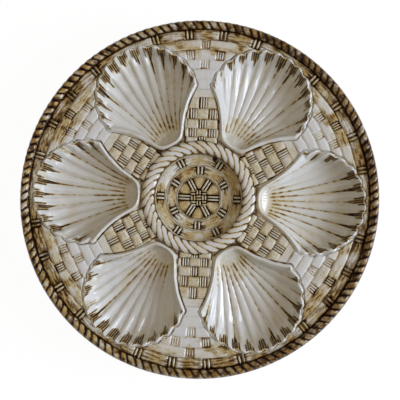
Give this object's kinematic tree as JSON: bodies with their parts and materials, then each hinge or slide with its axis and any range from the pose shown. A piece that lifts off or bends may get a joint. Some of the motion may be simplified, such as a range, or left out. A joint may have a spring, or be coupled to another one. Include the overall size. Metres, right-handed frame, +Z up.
{
  "type": "oyster plate",
  "caption": "Round oyster plate with fluted scallop-shell wells around a sauce well, rope borders and basketweave relief, on a low foot ring.",
  "frame": {"origin": "centre of the plate, on the plane that its foot stands on", "axes": "+Z up out of the wells; +X to the right of the picture and +Y to its top"},
  "size_m": [0.248, 0.248, 0.0265],
  "materials": {
    "white_glaze": "gloss",
    "brown_glaze": "gloss",
    "tan_glaze": "gloss",
    "bare_clay": "matte"
  },
  "bodies": {
    "root": {"plate_body": "white_glaze", "foot_ring": "bare_clay", "rim_rope": "brown_glaze", "rim_weave": "brown_glaze", "shell_well_1": "white_glaze", "shell_well_2": "white_glaze", "shell_well_3": "white_glaze", "shell_well_4": "white_glaze", "shell_well_5": "white_glaze", "shell_well_6": "white_glaze", "outer_panel_1": "tan_glaze", "outer_panel_2": "tan_glaze", "outer_panel_3": "tan_glaze", "outer_panel_4": "tan_glaze", "outer_panel_5": "tan_glaze", "outer_panel_6": "tan_glaze", "inner_panel_1": "tan_glaze", "inner_panel_2": "tan_glaze", "inner_panel_3": "tan_glaze", "inner_panel_4": "tan_glaze", "inner_panel_5": "tan_glaze", "inner_panel_6": "tan_glaze", "centre_rope": "white_glaze", "centre_well": "tan_glaze", "medallion_outer_ring": "brown_glaze", "medallion_inner_ring": "brown_glaze", "medallion_petals": "tan_glaze", "medallion_knot": "tan_glaze"}
  },
  "joints": []
}
